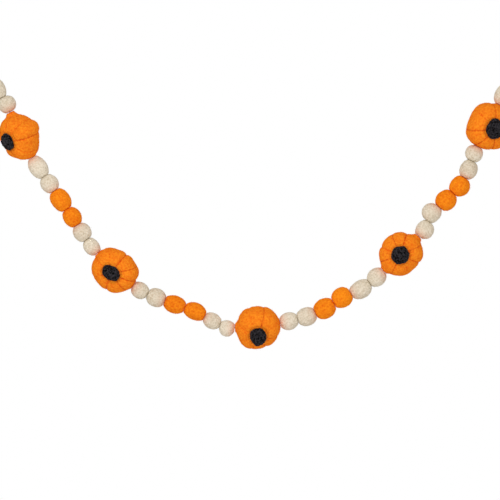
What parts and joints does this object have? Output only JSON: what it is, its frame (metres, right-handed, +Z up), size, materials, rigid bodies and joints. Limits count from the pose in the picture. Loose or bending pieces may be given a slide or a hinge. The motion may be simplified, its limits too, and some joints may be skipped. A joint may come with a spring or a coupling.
{
  "type": "felt ball and pumpkin garland",
  "caption": "Hanging garland of felt balls and stitched felt pumpkins with dark stems, strung on cotton twine with a hanging loop at each end.",
  "frame": {"origin": "where the left hanging loop bears on its hook, on the inner side of the loop's far end", "axes": "+X along the span from the left hook to the right one, +Z up; the pumpkins' stems look towards -Y"},
  "size_m": [0.6285, 0.0519, 0.3494],
  "materials": {
    "felt_cream": "matte needle-felted wool, off-white",
    "felt_orange": "matte needle-felted wool, orange",
    "felt_pumpkin": "matte needle-felted wool, orange, stitched into ribs",
    "felt_black": "matte needle-felted wool, black",
    "cotton_twine": "three-ply natural cotton twine"
  },
  "bodies": {
    "root": {"cream_ball_01": "felt_cream", "cream_ball_02": "felt_cream", "cream_ball_03": "felt_cream", "cream_ball_04": "felt_cream", "cream_ball_05": "felt_cream", "cream_ball_06": "felt_cream", "cream_ball_07": "felt_cream", "cream_ball_08": "felt_cream", "cream_ball_09": "felt_cream", "cream_ball_10": "felt_cream", "cream_ball_11": "felt_cream", "cream_ball_12": "felt_cream", "cream_ball_13": "felt_cream", "cream_ball_14": "felt_cream", "cream_ball_15": "felt_cream", "cream_ball_16": "felt_cream", "cream_ball_17": "felt_cream", "cream_ball_18": "felt_cream", "cream_ball_19": "felt_cream", "cream_ball_20": "felt_cream", "orange_ball_01": "felt_orange", "orange_ball_02": "felt_orange", "orange_ball_03": "felt_orange", "orange_ball_04": "felt_orange", "orange_ball_05": "felt_orange", "orange_ball_06": "felt_orange", "orange_ball_07": "felt_orange", "orange_ball_08": "felt_orange", "pumpkin_1": "felt_pumpkin", "pumpkin_2": "felt_pumpkin", "pumpkin_3": "felt_pumpkin", "pumpkin_4": "felt_pumpkin", "pumpkin_5": "felt_pumpkin", "stem_1": "felt_black", "stem_2": "felt_black", "stem_3": "felt_black", "stem_4": "felt_black", "stem_5": "felt_black", "string": "cotton_twine", "loop_left": "cotton_twine", "loop_right": "cotton_twine"}
  },
  "joints": []
}
